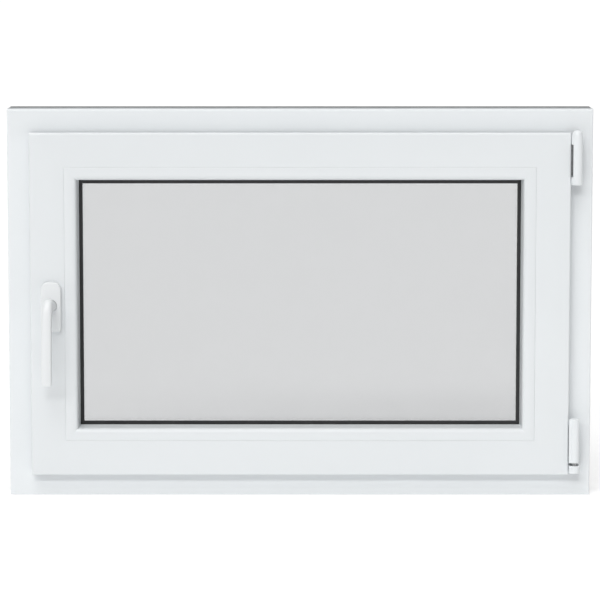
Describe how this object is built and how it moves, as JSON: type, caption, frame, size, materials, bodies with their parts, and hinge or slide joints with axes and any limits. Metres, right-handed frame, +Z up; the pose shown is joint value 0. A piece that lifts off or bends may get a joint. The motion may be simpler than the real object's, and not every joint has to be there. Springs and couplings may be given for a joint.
{
  "type": "casement window",
  "caption": "White tilt-and-turn casement window with insulating glass, a lever handle on the left stile, covered hinges on the right and a concealed drive gear.",
  "frame": {"origin": "centre of the outer frame's bottom face, at mid depth", "axes": "+X to the right as seen from the room (hinge side), +Y towards the exterior, +Z up; the room is on the -Y side"},
  "size_m": [0.9, 0.1494, 0.6],
  "materials": {
    "frame_pvc": "white unplasticised PVC, satin, with a dark grey foil on the exterior part",
    "sash_pvc": "white unplasticised PVC, satin, with a dark grey foil on the exterior part",
    "bead_pvc": "white unplasticised PVC, satin",
    "reinforcement_steel": "galvanised",
    "hardware_steel": "zinc plated, satin",
    "inner_steel": "plain steel",
    "gasket_rubber": "matt black",
    "edge_sealant": "matt black",
    "spacer_aluminium": "satin",
    "clear_glass": "clear",
    "drain_plastic": "matt dark grey",
    "block_plastic": "matt",
    "cap_plastic": "white, satin",
    "handle_coating": "white powder coat, satin"
  },
  "bodies": {
    "frame": {"frame_sill": "frame_pvc", "frame_head": "frame_pvc", "frame_jamb_left": "frame_pvc", "frame_jamb_right": "frame_pvc", "frame_steel_sill": "reinforcement_steel", "frame_steel_head": "reinforcement_steel", "frame_steel_jamb_left": "reinforcement_steel", "frame_steel_jamb_right": "reinforcement_steel", "frame_gasket": "gasket_rubber", "drain_cap_left": "drain_plastic", "drain_cap_right": "drain_plastic", "strike_plate_left_lower": "hardware_steel", "strike_plate_left_upper": "hardware_steel", "strike_plate_head": "hardware_steel", "strike_plate_sill": "hardware_steel", "upper_hinge_bearing": "hardware_steel", "upper_hinge_pin": "hardware_steel", "upper_hinge_cap": "cap_plastic", "lower_hinge_bearing": "hardware_steel", "lower_hinge_bearing_cap": "cap_plastic"},
    "hinge_swivel": {"lower_hinge_swivel_pin": "hardware_steel"},
    "stay": {"stay_arm": "hardware_steel"},
    "sash": {"sash_rail_bottom": "sash_pvc", "sash_rail_top": "sash_pvc", "sash_stile_left": "sash_pvc", "sash_stile_right": "sash_pvc", "sash_steel_rail_bottom": "reinforcement_steel", "sash_steel_rail_top": "reinforcement_steel", "sash_steel_stile_left": "reinforcement_steel", "sash_steel_stile_right": "reinforcement_steel", "glazing_bead_bottom": "bead_pvc", "glazing_bead_top": "bead_pvc", "glazing_bead_left": "bead_pvc", "glazing_bead_right": "bead_pvc", "glass_pane_inner": "clear_glass", "glass_pane_outer": "clear_glass", "glass_spacer": "spacer_aluminium", "glass_edge_seal": "edge_sealant", "glazing_gasket_inner": "gasket_rubber", "glazing_gasket_outer": "gasket_rubber", "sash_gasket": "gasket_rubber", "sash_gasket_hinge_side": "gasket_rubber", "setting_block_bottom_left": "block_plastic", "setting_block_bottom_right": "block_plastic", "setting_block_top_left": "block_plastic", "lower_hinge_strap": "hardware_steel", "lower_hinge_cover": "cap_plastic", "gearbox_case": "hardware_steel", "corner_drive_top": "hardware_steel", "corner_drive_bottom": "hardware_steel", "handle_rosette": "handle_coating", "handle_rosette_base": "inner_steel", "handle_screw_lower": "inner_steel", "handle_screw_upper": "inner_steel"},
    "handle": {"handle_grip": "handle_coating", "handle_spindle": "inner_steel", "gear_pinion": "inner_steel"},
    "rod_left": {"drive_rod_left": "hardware_steel"},
    "rod_top": {"drive_rod_top": "hardware_steel"},
    "rod_bottom": {"drive_rod_bottom": "hardware_steel"}
  },
  "joints": [
    {"name": "sash_turn", "type": "hinge", "parent": "frame", "child": "hinge_swivel", "pos_m": [0.4235, -0.057, 0.052], "axis": [0, 0, 1], "range_deg": [0, 90]},
    {"name": "sash_tilt", "type": "hinge", "parent": "hinge_swivel", "child": "sash", "pos_m": [0.4235, -0.057, 0.052], "axis": [1, 0, 0], "range_deg": [0, 7]},
    {"name": "stay_swing", "type": "hinge", "parent": "hinge_swivel", "child": "stay", "pos_m": [0.4235, -0.057, 0.522], "axis": [0, 0, 1], "range_deg": [0, 12]},
    {"name": "handle_turn", "type": "hinge", "parent": "sash", "child": "handle", "pos_m": [-0.382, -0.057, 0.3], "axis": [0, -1, 0], "range_deg": [0, 180]},
    {"name": "rod_left_slide", "type": "slide", "parent": "sash", "child": "rod_left", "axis": [0, 0, 1], "range_m": [0, 0.0365]},
    {"name": "rod_top_slide", "type": "slide", "parent": "sash", "child": "rod_top", "axis": [1, 0, 0], "range_m": [0, 0.0365]},
    {"name": "rod_bottom_slide", "type": "slide", "parent": "sash", "child": "rod_bottom", "axis": [-1, 0, 0], "range_m": [0, 0.0365]}
  ],
  "couplings": [
    {"joint": "stay_swing", "follows": "sash_tilt", "ratio": 1.7},
    {"joint": "rod_left_slide", "follows": "handle_turn", "m_per_rad": 0.011459},
    {"joint": "rod_top_slide", "follows": "handle_turn", "m_per_rad": 0.011459},
    {"joint": "rod_bottom_slide", "follows": "handle_turn", "m_per_rad": 0.011459}
  ]
}
